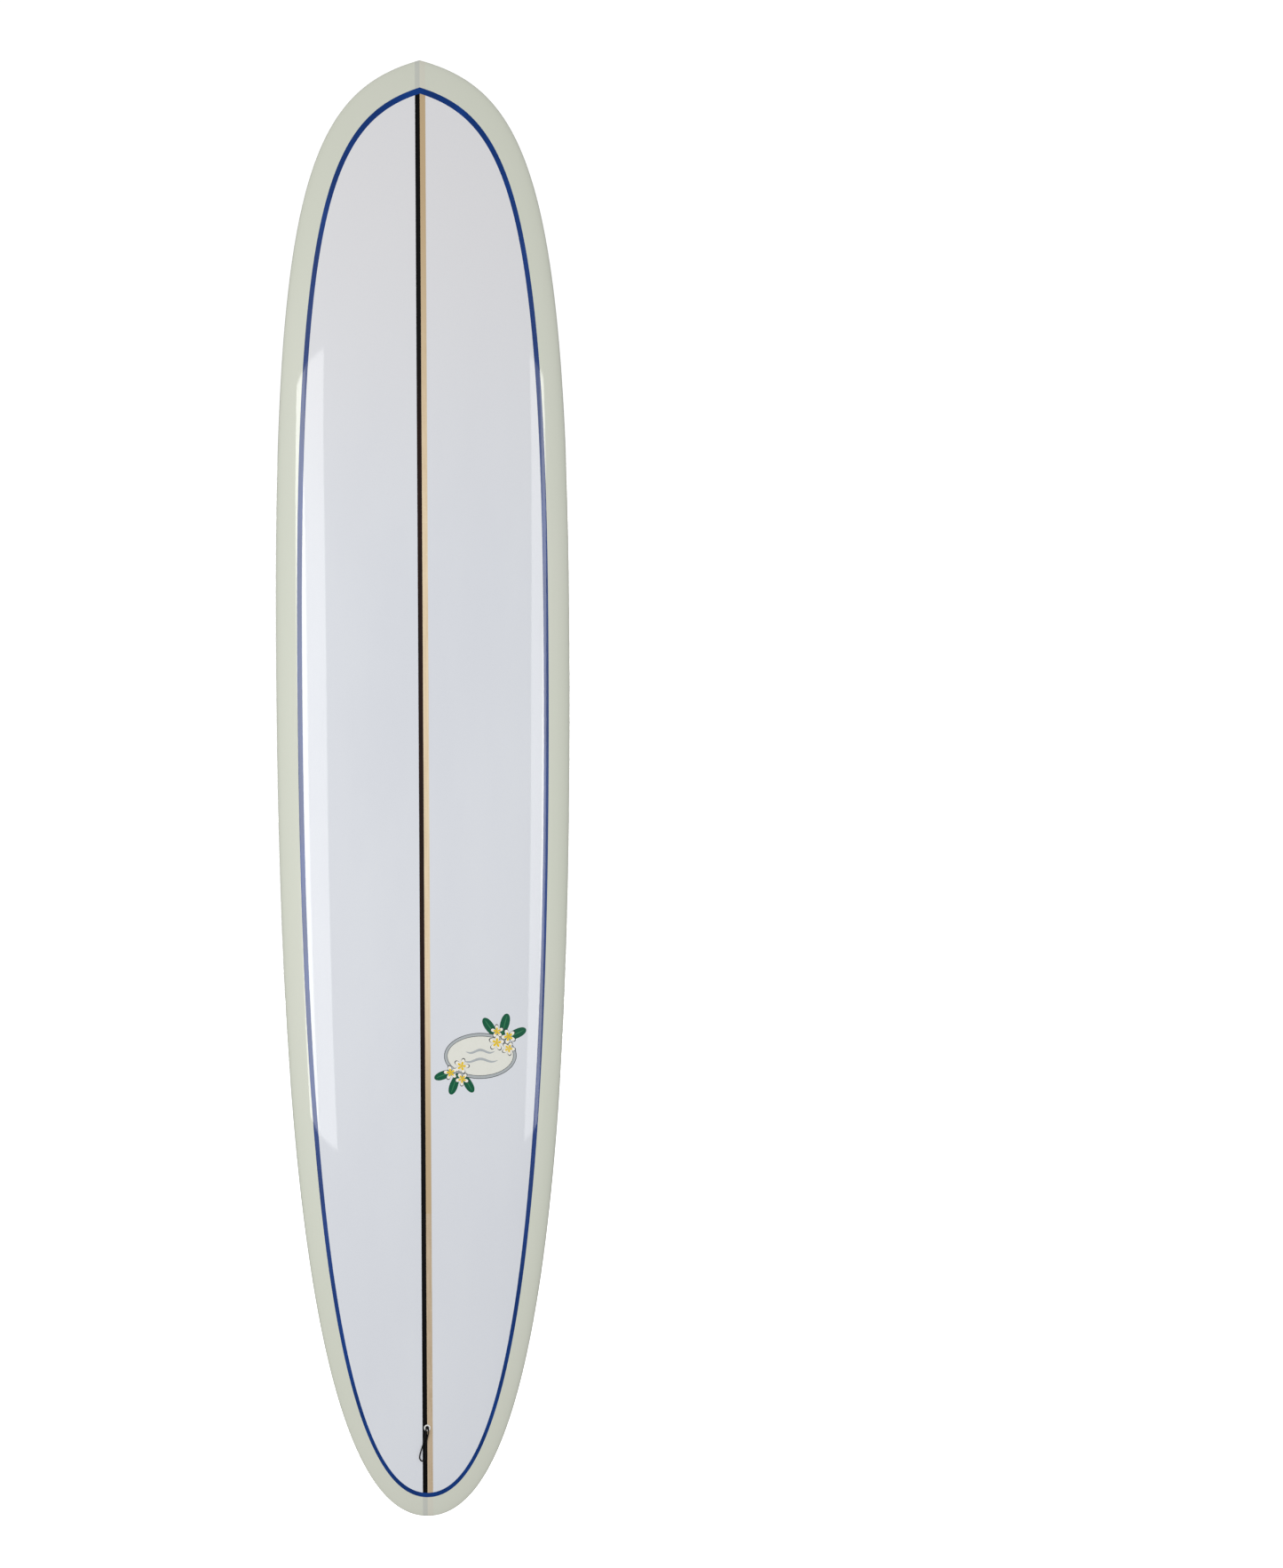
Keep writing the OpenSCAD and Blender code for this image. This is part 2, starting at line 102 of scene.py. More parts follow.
TAIL_CURVE = ((0, 0), (0, 280), (1130, HALF_W), (1750, HALF_W))
NOSE_CURVE = ((1750, HALF_W), (2670, HALF_W), (2840, 215), (BOARD_L, 0))
BAND_SHARE = 1 - BAND_SIDE / HALF_W
PIN_HALF = PINLINE_W / 2 / HALF_W
SPINE_K = (BAND_NOSE + BAND_TAIL) / (1 - BAND_SHARE) / BOARD_L
SPINE_MID = BAND_TAIL / (1 - BAND_SHARE) / SPINE_K


def bezier(curve, t):
    """Points of the cubic curve that four points pull into shape."""
    c = np.array(curve, float)
    t = t[:, None]
    r = 1 - t
    return r**3 * c[0] + 3 * r * r * t * c[1] + 3 * r * t * t * c[2] + t**3 * c[3]


# One side of the outline from tail tip to nose tip, finely
CURVE_STEPS = np.linspace(0, 1, 3000)
OUTLINE = np.vstack((bezier(TAIL_CURVE, CURVE_STEPS)[:-1], bezier(NOSE_CURVE, CURVE_STEPS)))
TIP_CROWDING = 0.12


def half_width(s):
    return np.interp(s, OUTLINE[:, 0], OUTLINE[:, 1])


def outline_points(count):
    """Points along one side of the outline, evenly spaced but closer together at the tips."""
    step = np.linalg.norm(np.diff(OUTLINE, axis=0), axis=1)
    run = np.concatenate(([0], np.cumsum(step)))
    share = np.linspace(0, 1, count)
    share = share - TIP_CROWDING * np.sin(2 * math.pi * share)
    at = share * run[-1]
    return np.interp(at, run, OUTLINE[:, 0]), np.interp(at, run, OUTLINE[:, 1])


def rocker(s):
    """How far the bottom rises above its flat spot."""
    tail = TAIL_ROCKER * np.maximum(0, (FLAT_AT - s) / FLAT_AT) ** TAIL_LIFT_POWER
    nose = NOSE_ROCKER * np.maximum(0, (s - FLAT_AT) / (BOARD_L - FLAT_AT)) ** NOSE_LIFT_POWER
    return tail + nose


def foil(s):
    """The board's thickness on its centre line."""
    run = np.where(s < THICK_AT, THICK_AT, BOARD_L - THICK_AT)
    w = np.abs(s - THICK_AT) / run
    return TIP_T + (BOARD_T - TIP_T) * np.maximum(0, 1 - w**FOIL_POWER) ** FOIL_FULLNESS


def keel(s):
    """Where the bottom's centre line lies along Y, from the fin box's face."""
    return rocker(np.float64(FIN_AT)) - rocker(s)


def shrink(u):
    """How much shorter than the outline the ring of share u is."""
    return 1 - (1 - u) * SPINE_K


def share_at(s, x):
    """The share of the ring that passes through a station and a distance from the centre line."""
    x = np.abs(x)
    low, high = np.zeros_like(x), np.ones_like(x)
    for _ in range(40):
        u = (low + high) / 2
        inside = u * half_width(SPINE_MID + (s - SPINE_MID) / shrink(u)) < x
        outline_s = SPINE_MID + (s - SPINE_MID) / shrink(u)
        inside |= (outline_s < 0) | (outline_s > BOARD_L)
        low, high = np.where(inside, u, low), np.where(inside, high, u)
    return high


def skin_y(s, u, deck):
    """The skin's place along Y, domed from the rail's edge to the centre line."""
    n = DECK_DOME if deck else BOTTOM_BELLY
    rise = ((1 - RAIL_SHARE) if deck else RAIL_SHARE) * foil(s)
    h = np.maximum(0, 1 - np.minimum(u, 1) ** n) ** (1 / n)
    return keel(s) - RAIL_SHARE * foil(s) + (-rise if deck else rise) * h


def on_skin(s, x, deck, lift=0.0):
    """Points of the skin in metres, at stations s and distances x, lifted off it by lift mm."""
    y = skin_y(s, share_at(s, x), deck) + (-lift if deck else lift)
    return np.stack((x, y, s - FIN_AT), axis=-1) * MM


def ring_points(around, deck, u, lift=0.0):
    """One ring of the skin, up the right side and back down the left, in metres."""
    side_s, side_x = around
    outline_s = np.concatenate((side_s, side_s[-2:0:-1]))
    outline_x = np.concatenate((side_x, -side_x[-2:0:-1]))
    s = SPINE_MID + (outline_s - SPINE_MID) * shrink(u)
    y = skin_y(s, np.full_like(s, u), deck) + (-lift if deck else lift)
    return np.stack((u * outline_x, y, s - FIN_AT), axis=-1) * MM


def ring_shares(n, first, last, count):
    """Shares spaced evenly along the rail's curve, between two shares."""
    a = np.linspace(math.asin(first ** (n / 2)), math.asin(last ** (n / 2)), count)
    return np.sin(a) ** (2 / n)


# ---- meshes ----


def new_object(name, points, faces, materials, indices=None, smooth=True):
    mesh = bpy.data.meshes.new(name)
    mesh.from_pydata([tuple(p) for p in points], [], faces)
    for m in materials:
        mesh.materials.append(m)
    if indices is not None:
        mesh.polygons.foreach_set("material_index", indices)
    mesh.polygons.foreach_set("use_smooth", [smooth] * len(mesh.polygons))
    mesh.update()
    obj = bpy.data.objects.new(name, mesh)
    bpy.context.scene.collection.objects.link(obj)
    return obj


def weld(obj, distance=1e-6):
    """Merges points that meet and drops faces that have no area."""
    bm = bmesh.new()
    bm.from_mesh(obj.data)
    bmesh.ops.remove_doubles(bm, verts=bm.verts, dist=distance)
    bmesh.ops.dissolve_degenerate(bm, edges=bm.edges, dist=distance)
    bmesh.ops.recalc_face_normals(bm, faces=bm.faces)
    bm.to_mesh(obj.data)
    bm.free()
    return obj


def face_outwards(obj, sign):
    """Turns a sheet whose faces look the wrong way along Y."""
    total = sum(f.normal.y * f.area for f in obj.data.polygons)
    if total * sign < 0:
        obj.data.flip_normals()


def apply_modifiers(obj):
    depsgraph = bpy.context.evaluated_depsgraph_get()
    mesh = bpy.data.meshes.new_from_object(obj.evaluated_get(depsgraph))
    obj.modifiers.clear()
    old, obj.data = obj.data, mesh
    bpy.data.meshes.remove(old)
    return obj


def thicken(obj, thickness):
    """Makes a sheet into a closed shell, inwards from where it is."""
    solid = obj.modifiers.new("shell", "SOLIDIFY")
    solid.thickness = thickness * MM
    solid.offset = -1
    solid.use_even_offset = False
    return apply_modifiers(obj)


def cut(obj, cutter):
    hole = obj.modifiers.new("hole", "BOOLEAN")
    hole.object = cutter
    hole.operation = "DIFFERENCE"
    hole.solver = "EXACT"
    apply_modifiers(obj)
    bpy.data.objects.remove(cutter)
    return obj


def sharpen(obj, degrees=30):
    obj.data.polygons.foreach_set("use_smooth", [True] * len(obj.data.polygons))
    obj.data.set_sharp_from_angle(angle=math.radians(degrees))
    return obj


def bevel(obj, width, segments=3, degrees=40):
    """Softens an edge the way moulding and sanding do."""
    soft = obj.modifiers.new("soft_edges", "BEVEL")
    soft.width = width * MM
    soft.segments = segments
    soft.limit_method = "ANGLE"
    soft.angle_limit = math.radians(degrees)
    sharpen(obj, degrees)


def prism(points, height, place):
    """A closed prism along Z of its own frame, from -height to height."""
    count = len(points)
    low = [(x, y, -height) for x, y in points]
    high = [(x, y, height) for x, y in points]
    sides = [(k, (k + 1) % count, count + (k + 1) % count, count + k) for k in range(count)]
    caps = [tuple(reversed(range(count))), tuple(range(count, 2 * count))]
    obj = new_object("cutter", np.array(low + high) * MM, sides + caps, [], smooth=False)
    obj.data.transform(place)
    if place.determinant() < 0:
        obj.data.flip_normals()
    return obj


def rounded_bar(length, width, radius, corner=10):
    points = []
    for cx, cy, start in ((1, 1, 0), (-1, 1, 90), (-1, -1, 180), (1, -1, 270)):
        for k in range(corner + 1):
            a = math.radians(start + 90 * k / corner)
            points.append((
                cx * (width / 2 - radius) + radius * math.cos(a),
                cy * (length / 2 - radius) + radius * math.sin(a),
            ))
    return points


def circle(diameter, count=96):
    angles = [2 * math.pi * k / count for k in range(count)]
    return [(diameter / 2 * math.cos(a), diameter / 2 * math.sin(a)) for a in angles]


# ---- places of the fin box and the leash plug ----


def spine_line(s, deck):
    return float(on_skin(np.array([float(s)]), np.array([0.0]), deck)[0][1])


def tilt_at(s, deck):
    return math.atan((spine_line(s + 1, deck) - spine_line(s - 1, deck)) / (2 * MM))


FIN_TILT = tilt_at(FIN_AT, False)
PLUG_TILT = tilt_at(PLUG_AT, True)
# Z out of the bottom, Y along the slot towards the nose
FIN_PLACE = Matrix.Rotation(-FIN_TILT, 4, "X") @ Matrix.Rotation(math.radians(-90), 4, "X")
FIN_PLACE = FIN_PLACE @ Matrix.Scale(-1, 4, (0, 1, 0))
# X to the right, Y towards the nose, Z out of the deck
PLUG_PLACE = (
    Matrix.Translation((0, spine_line(PLUG_AT, True), (PLUG_AT - FIN_AT) * MM))
    @ Matrix.Rotation(math.radians(90) - PLUG_TILT, 4, "X")
)

# How far an opening in the glass clears what is set in it, and how far a cutter reaches each way
HOLE_GAP = 0.1
CUTTER_REACH = 20


def fin_box_cutter():
    return prism(rounded_bar(BOX_L + HOLE_GAP, BOX_W + HOLE_GAP, BOX_R), CUTTER_REACH, FIN_PLACE)


# ---- leash string ----

# In the plug's frame: [right, towards the nose, out of the deck], in millimetres
STRING_ROUTE = (
    (-2.3, 0, -5.2), (-2.3, 0, -2.9), (-2.4, -1.7, 1.3), (-2.6, -6, 3.1), (-3, -10.6, 2.6),
    (-3.8, -15.4, 1.9), (-5, -21, 1.6), (-7, -28, 1.6), (-9.4, -35, 1.6), (-11.8, -42, 1.5),
    (-13.9, -48.5, 1.4), (-15.3, -54.4, 1.3), (-15.6, -59.4, 1.2), (-13.8, -63.7, 1.2),
    (-9.6, -65.4, 1.2), (-5.4, -63.7, 1.2), (-3.6, -59.4, 1.2), (-3.5, -54.4, 1.3),
    (-3.6, -48.5, 1.4), (-3.4, -42, 1.5), (-2.8, -35, 1.6), (-1.8, -28, 1.6), (-0.4, -21, 1.6),
    (0.9, -15.4, 1.9), (1.8, -10.6, 2.6), (2.2, -6, 3.1), (2.3, -1.7, 1.3), (2.3, 0, -2.9),
    (2.3, 0, -5.2),
)


def smooth_route(route, per_leg):
    """The curve that the route's points pull into shape."""
    p = np.array(route, float)
    last = len(p) - 1
    out = []
    for k in range(last):
        a, b, c, e = p[max(0, k - 1)], p[k], p[min(last, k + 1)], p[min(last, k + 2)]
        for t in np.arange(per_leg) / per_leg:
            r = 1 - t
            mid = (4 - 6 * t * t + 3 * t**3) * b + (4 - 6 * r * r + 3 * r**3) * c
            out.append((r**3 * a + mid + t**3 * e) / 6)
    out.append(p[last])
    return np.array(out)


def even_steps(path, step):
    run = np.concatenate(([0], np.cumsum(np.linalg.norm(np.diff(path, axis=0), axis=1))))
    at = np.linspace(0, run[-1], max(2, int(run[-1] / step)) + 1)
    return np.stack([np.interp(at, run, path[:, k]) for k in range(3)], axis=1)


def swept(name, path, radius, sides, materials, closed=False, braid=0.0, pitch=1.0):
    """A tube along a path, with a braid's crossing strands raised on it."""
    count = len(path)
    if closed:
        heads = np.roll(path, -1, axis=0) - np.roll(path, 1, axis=0)
    else:
        heads = np.gradient(path, axis=0)
    heads = heads / np.linalg.norm(heads, axis=1)[:, None]
    across = np.cross(heads[0], (0.3, 1, 0.2))
    step = np.linalg.norm(path[1] - path[0])
    points = []
    for k in range(count):
        across = across - heads[k] * (across @ heads[k])
        across = across / np.linalg.norm(across)
        up = np.cross(heads[k], across)
        for j in range(sides):
            a = 2 * math.pi * j / sides
            turn = 2 * math.pi * k * step / pitch
            weave = math.sin(4 * a + turn) * math.sin(4 * a - turn)
            r = radius - braid * (0.5 - 0.5 * weave)
            points.append(path[k] + r * (math.cos(a) * across + math.sin(a) * up))
    faces = []
    for k in range(count if closed else count - 1):
        n = (k + 1) % count
        for j in range(sides):
            i = (j + 1) % sides
            faces.append((k * sides + j, k * sides + i, n * sides + i, n * sides + j))
    if not closed:
        faces.append(tuple(range(sides - 1, -1, -1)))
        faces.append(tuple(range((count - 1) * sides, count * sides)))
    return weld(new_object(name, points, faces, materials))


def in_plug_frame(path):
    return np.array([PLUG_PLACE @ Vector(p * MM) for p in path])


# ---- materials ----


class Paint:
    """A Principled material and short ways to add the nodes that feed it."""

    def __init__(self, name, roughness=0.4, coat=0.0, specular=0.5, metallic=0.0, coat_roughness=0.03):
        self.material = bpy.data.materials.new(name)
        self.material.use_nodes = True
        self.tree = self.material.node_tree
        self.shader = self.tree.nodes["Principled BSDF"]
        self.set("Roughness", roughness)
        self.set("Coat Weight", coat)
        self.set("Coat Roughness", coat_roughness)
        self.set("Specular IOR Level", specular)
        self.set("Metallic", metallic)
        self.place = self.tree.nodes.new("ShaderNodeTexCoord").outputs["Object"]
        self._axes = None

    def set(self, socket, value):
        if isinstance(value, bpy.types.NodeSocket):
            self.tree.links.new(value, self.shader.inputs[socket])
        else:
            self.shader.inputs[socket].default_value = value

    def node(self, kind, inputs=(), **settings):
        n = self.tree.nodes.new("ShaderNode" + kind)
        for key, value in settings.items():
            setattr(n, key, value)
        for key, value in dict(inputs).items():
            if isinstance(value, bpy.types.NodeSocket):
                self.tree.links.new(value, n.inputs[key])
            else:
                n.inputs[key].default_value = value
        return n

    def axis(self, name):
        """X, Y or Z of the row frame, in metres."""
        if self._axes is None:
            self._axes = self.node("SeparateXYZ", {0: self.place}).outputs
        return self._axes[name]

    def math(self, operation, a, b=0.0):
        return self.node("Math", {0: a, 1: b}, operation=operation).outputs[0]

    def step(self, value, low, high):
        """0 below low and 1 above high, smooth between."""
        n = self.node("MapRange", {0: value, 1: low, 2: high}, interpolation_type="SMOOTHSTEP")
        return n.outputs[0]

    def noise(self, scale, stretch=(1, 1, 1), detail=3.0, roughness=0.5):
        place = self.node("Mapping", {"Vector": self.place, "Scale": stretch}).outputs[0]
        inputs = {"Vector": place, "Scale": scale, "Detail": detail, "Roughness": roughness}
        return self.node("TexNoise", inputs).outputs[0]

    def mix(self, factor, a, b):
        """A colour between a and b; 0, 6 and 7 are the Mix node's factor and colour sockets."""
        n = self.tree.nodes.new("ShaderNodeMix")
        n.data_type = "RGBA"
        for socket, value in ((n.inputs[0], factor), (n.inputs[6], a), (n.inputs[7], b)):
            if isinstance(value, bpy.types.NodeSocket):
                self.tree.links.new(value, socket)
            elif isinstance(value, (int, float)):
                socket.default_value = value
            else:
                socket.default_value = colour(value)
        return n.outputs[2]

    def colour(self, value):
        self.set("Base Color", value if isinstance(value, bpy.types.NodeSocket) else colour(value))

    def bump(self, height, distance, coat=False):
        n = self.node("Bump", {"Height": height, "Distance": distance, "Strength": 1.0})
        self.set("Normal", n.outputs[0])
        if coat:
            self.set("Coat Normal", n.outputs[0])


def colour(rgb):
    """Screen colour, 0 to 255, as linear RGBA."""
    c = np.array(rgb[:3], float) / 255
    linear = np.where(c <= 0.04045, c / 12.92, ((c + 0.055) / 1.055) ** 2.4)
    return (*linear.tolist(), 1.0)


CLOTH_PITCH = 1.6 * MM


def weave_height(p):
    """A plain cloth's threads, seen through resin."""
    freq = 2 * math.pi / CLOTH_PITCH
    warp = p.math("SINE", p.math("MULTIPLY", p.axis("X"), freq))
    weft = p.math("SINE", p.math("MULTIPLY", p.axis("Z"), freq))
    return p.math("MULTIPLY", warp, weft)


def polish_bump(p):
    """The slow waves that hand sanding leaves under a polished gloss."""
    p.bump(p.noise(2.6, (1.6, 1.6, 0.5), 2.0), 0.00035, coat=True)


def over_foam():
    p = Paint("clear_glass_over_foam", roughness=0.45, coat=1.0, specular=0.25)
    cloud = p.noise(3.0, (1, 1, 0.35), 4.0, 0.6)
    speck = p.noise(900, detail=2.0)
    base = p.mix(p.step(cloud, 0.3, 0.7), (228, 231, 237), (233, 236, 241))
    base = p.mix(p.math("MULTIPLY", p.step(p.axis("Z"), 1.5, 2.5), 0.9), base, (235, 234, 235))
    base = p.mix(p.math("MULTIPLY", p.step(speck, 0.45, 0.75), 0.14), base, (208, 211, 221))
    thread = p.math("MULTIPLY", weave_height(p), 0.05)
    base = p.mix(p.math("ADD", thread, 0.05), base, (240, 241, 246))
    p.colour(base)
    polish_bump(p)
    return p.material


def wood(name, light, dark, fleck, ends=None, tail=(0.85, 0.45), nose=(1.85, 2.12)):
    """Grain along the board and rays across it, with another colour past the tail and nose heights."""
    p = Paint(name, roughness=0.4, coat=1.0, specular=0.3)
    grain = p.noise(60, (9, 9, 0.16), 5.0, 0.65)
    base = p.mix(p.step(grain, 0.35, 0.68), light, dark)
    ray = p.noise(420, (0.35, 0.35, 2.2), 2.0)
    base = p.mix(p.math("MULTIPLY", p.step(ray, 0.56, 0.72), 0.55), base, fleck)
    if ends is not None:
        z = p.axis("Z")
        base = p.mix(p.math("MAXIMUM", p.step(z, *tail), p.step(z, *nose)), base, ends)
    p.colour(base)
    polish_bump(p)
    return p.material


# Each wood's early grain, late grain and rays
DARK_WOOD = ((46, 17, 6), (26, 8, 3), (60, 26, 14))
AFT_WOOD = ((212, 190, 160), (196, 172, 140), (224, 206, 180))
FORE_WOOD = ((246, 225, 190), (234, 210, 173), (250, 236, 208))


def through_tint(p, base, strength):
    """The stringers show faintly through the tinted glass."""
    x = p.math("MULTIPLY", p.axis("X"), 1 / MM)
    edge = 0.6
    dark = p.math("MULTIPLY", p.step(x, -DARK_W - edge, -DARK_W + edge), p.step(x, edge, -edge))
    light = p.math("MULTIPLY", p.step(x, -edge, edge), p.step(x, LIGHT_W + edge, LIGHT_W - edge))
    base = p.mix(p.math("MULTIPLY", dark, 0.75 * strength), base, (176, 178, 180))
    return p.mix(p.math("MULTIPLY", light, 0.45 * strength), base, (222, 205, 190))


def tint_colour(p, near, far):
    """The tinted resin's colour, a little uneven, and darker towards the board's ends."""
    cloud = p.noise(4.0, (1, 1, 0.4), 4.0, 0.55)
    z = p.axis("Z")
    ends = p.math("MAXIMUM", p.step(z, 0.55, -0.2), p.step(z, 1.9, 2.6))
    base = p.mix(p.math("MULTIPLY", ends, 0.8), near, far)
    base = p.mix(p.math("MULTIPLY", p.step(cloud, 0.3, 0.75), 0.25), base, (230, 228, 218))
    thread = p.math("MULTIPLY", weave_height(p), 0.05)
    return p.mix(p.math("ADD", thread, 0.05), base, (240, 240, 232))


def tinted_band():
    p = Paint("tinted_glass_band", roughness=0.4, coat=1.0, specular=0.3)
    p.colour(through_tint(p, tint_colour(p, (222, 226, 210), (218, 221, 205)), 0.5))
    polish_bump(p)
    return p.material


def tinted_bottom():
    p = Paint("tinted_glass_bottom", roughness=0.4, coat=1.0, specular=0.3)
    base = tint_colour(p, (235, 232, 219), (224, 219, 203))
    p.colour(through_tint(p, base, 1.0))
    polish_bump(p)
    return p.material


def tail_cloth():
    p = Paint("tail_patch_cloth", roughness=0.4, coat=1.0, specular=0.3)
    base = tint_colour(p, (230, 227, 213), (219, 215, 199))
    p.colour(through_tint(p, base, 0.9))
    polish_bump(p)
    return p.material


def resin_line():
    p = Paint("blue_resin_line", roughness=0.3, coat=0.6, specular=0.4)
    streak = p.noise(30, (1, 1, 0.2), 3.0)
    p.colour(p.mix(p.step(streak, 0.35, 0.7), (0, 52, 122), (1, 60, 138)))
    polish_bump(p)
    return p.material


def printed(name, ink, worn):
    """Ink on rice paper under resin."""
    p = Paint(name, roughness=0.4, coat=1.0, specular=0.3)
    fibre = p.noise(240, (1, 1, 0.5), 4.0, 0.7)
    p.colour(p.mix(p.math("MULTIPLY", p.step(fibre, 0.45, 0.8), 0.5), ink, worn))
    polish_bump(p)
    return p.material


def foam():
    p = Paint("blown_foam", roughness=0.9, specular=0.2)
    cells = p.node("TexVoronoi", {"Vector": p.place, "Scale": 900.0}).outputs["Distance"]
    p.colour(p.mix(p.step(cells, 0.2, 0.7), (236, 236, 232), (216, 216, 210)))
    p.bump(cells, 0.0003)
    return p.material


def bare_glass(name, light, dark):
    p = Paint(name, roughness=0.35, specular=0.5)
    p.colour(p.mix(p.step(weave_height(p), -0.6, 0.6), light, dark))
    p.bump(weave_height(p), 0.00006)
    return p.material


def box_plastic():
    """White plastic, sanded flush, darker and olive down in the slot: an olive tint together with
    painted shade from the slot's depth.
    """
    p = Paint("fin_box_plastic", roughness=0.33, specular=0.5, coat=0.4, coat_roughness=0.12)
    inwards = p.node("VectorMath", {0: p.place, 1: FIN_PLACE.col[2].to_3d()}, operation="DOT_PRODUCT")
    depth = inwards.outputs["Value"]
    down = p.step(depth, -1.2 * MM, -3.2 * MM)
    inside = p.step(p.math("ABSOLUTE", p.axis("X")), 9.6 * MM, 9.0 * MM)
    scuff = p.noise(180, (1, 1, 0.12), 4.0, 0.7)
    white = p.mix(p.step(scuff, 0.4, 0.75), (246, 243, 239), (235, 231, 226))
    # Painted shade with an olive tint for the slot's inside below the surface, darker than the white
    # plastic
    olive = p.mix(p.step(p.noise(60), 0.35, 0.7), (208, 216, 180), (220, 226, 196))
    p.colour(p.mix(p.math("MULTIPLY", down, inside), white, olive))
    p.bump(scuff, 0.00004)
    return p.material


def moulded_white():
    p = Paint("plug_plastic", roughness=0.35, specular=0.5, coat=0.3, coat_roughness=0.1)
    speck = p.noise(500, detail=3.0)
    p.colour(p.mix(p.step(speck, 0.4, 0.7), (245, 244, 241), (232, 231, 228)))
    p.bump(speck, 0.00003)
    return p.material


def metal(name, light, dark, roughness, metallic=1.0):
    p = Paint(name, roughness=roughness, metallic=metallic)
    scratch = p.noise(700, (1, 6, 1), 4.0, 0.6)
    p.colour(p.mix(p.step(scratch, 0.35, 0.7), light, dark))
    p.set("Roughness", p.math("ADD", p.math("MULTIPLY", scratch, 0.2), roughness - 0.1))
    p.bump(scratch, 0.00002)
    return p.material


def braided_cord():
    p = Paint("braided_polyester", roughness=0.7, specular=0.3)
    fibre = p.noise(2600, detail=2.0)
    p.colour(p.mix(p.step(fibre, 0.35, 0.7), (7, 7, 8), (20, 20, 22)))
    p.set("Sheen Weight", 0.1)
    p.bump(fibre, 0.00005)
    return p.material


# ---- camera ----

CAMERA_BACK = 3.652
CAMERA_UP = 1.1992
LENS = 41.5
PHOTO_W = 1445
PHOTO_H = 1766
BOARD_AT = 0.33016  # the board's place across the frame
LEAN = 0.325  # how far the board leans in the frame, in degrees


def make_camera():
    data = bpy.data.cameras.new("camera")
    data.lens = LENS
    data.sensor_width = 36
    data.shift_x = (0.5 - BOARD_AT) * PHOTO_W / PHOTO_H
    data.clip_end = 60
    camera = bpy.data.objects.new("camera", data)
    camera.location = (0, -CAMERA_BACK, CAMERA_UP)
    camera.rotation_euler = (math.radians(90), math.radians(LEAN), 0)
    bpy.context.scene.collection.objects.link(camera)
    bpy.context.scene.camera = camera


# ---- leash string and its knot ----

STRAND_R = 1.1  # of the cord in the knot
STRAND_GAP = 0.05
BRAID_RELIEF = 0.16
BRAID_PITCH = 4.2


def make_string():
    path = in_plug_frame(even_steps(smooth_route(STRING_ROUTE, 12), 0.4))
    cord_material = braided_cord()
    string = swept(
        "leash_string_braid", path, STRING_D / 2 * MM, 24, [cord_material],
        braid=BRAID_RELIEF * MM, pitch=BRAID_PITCH * MM,
    )
    turns = np.linspace(0, 2 * math.pi, 120, endpoint=False)
    size = KNOT_D / 2 - STRAND_R - STRAND_GAP
    trefoil = np.stack((
        (np.sin(turns) + 2 * np.sin(2 * turns)) / 3,
        (np.cos(turns) - 2 * np.cos(2 * turns)) / 3,
        -np.sin(3 * turns) * 0.55,
    ), axis=1)
    knot_path = in_plug_frame(trefoil * size + np.array((0, 0, -KNOT_DEPTH)))
    knot = swept("leash_string_knot", knot_path, STRAND_R * MM, 16, [cord_material], closed=True)
    for piece, node in ((string, "leash_string"), (knot, "leash_knot")):
        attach(piece, "board")
        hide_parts(node)


# ---- board skins ----

SHELL_T = 0.9
SEAM_WELD = 2e-5  # in metres
AROUND = outline_points(190)
# Rows past the widest ring that still have the band's colour
BAND_TURN_ROWS = 3


def make_deck_panel():
    """Clear glass over the foam and the stringer strips, inside the pinline."""
    k = shrink(BAND_SHARE)
    ends = [SPINE_MID + (tip - SPINE_MID) * k for tip in (0, BOARD_L)]
    turn = np.linspace(0, math.pi, 300)
    stations = ends[0] + (ends[1] - ends[0]) * (0.5 - 0.5 * np.cos(turn))
    stations = np.sort(np.append(stations, SCARF_AT))
    edge = BAND_SHARE * half_width(SPINE_MID + (stations - SPINE_MID) / k)
    out = np.linspace(1, 0, 22)
    columns = [-DARK_W - np.maximum(edge - DARK_W, 0) * g for g in out]
    columns += [np.full_like(edge, x) for x in (-DARK_W / 2, 0, LIGHT_W / 2)]
    columns += [LIGHT_W + np.maximum(edge - LIGHT_W, 0) * g for g in out[::-1]]
    x = np.clip(np.stack(columns, axis=1), -edge[:, None], edge[:, None])
    s = np.repeat(stations[:, None], x.shape[1], axis=1)
    points = on_skin(s.ravel(), x.ravel(), True)
    rows, cols = x.shape
    faces, indices = [], []
    # The columns' first cell of the dark strip, of the light strip and of the right side
    dark_from = len(out) - 1
    light_from = dark_from + 2
    right_from = light_from + 2
    for r in range(rows - 1):
        fore = stations[r] >= SCARF_AT - 0.01
        for c in range(cols - 1):
            a = r * cols + c
            faces.append((a, a + 1, a + cols + 1, a + cols))
            if c < dark_from or c >= right_from:
                indices.append(0)
            elif c < light_from:
                indices.append(1)
            else:
                indices.append(3 if fore else 2)
    # In the order of the indices above: foam, dark strip, light strip aft and fore of the scarf
    materials = [
        over_foam(),
        wood("dark_wood_under_glass", *DARK_WOOD, ends=(4, 3, 3)),
        wood("light_wood_aft_under_glass", *AFT_WOOD),
        wood("light_wood_fore_under_glass", *FORE_WOOD, ends=(203, 177, 138), nose=(1.65, 2.45)),
    ]
    panel = weld(new_object("deck_glass_panel", points, faces, materials, indices), SEAM_WELD)
    face_outwards(panel, -1)
    thicken(panel, SHELL_T)
    cut(panel, prism(circle(CUP_D + HOLE_GAP), CUTTER_REACH, PLUG_PLACE))
    sharpen(panel)
    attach(panel, "board")
    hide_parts("deck_laminate", "deck_gloss")


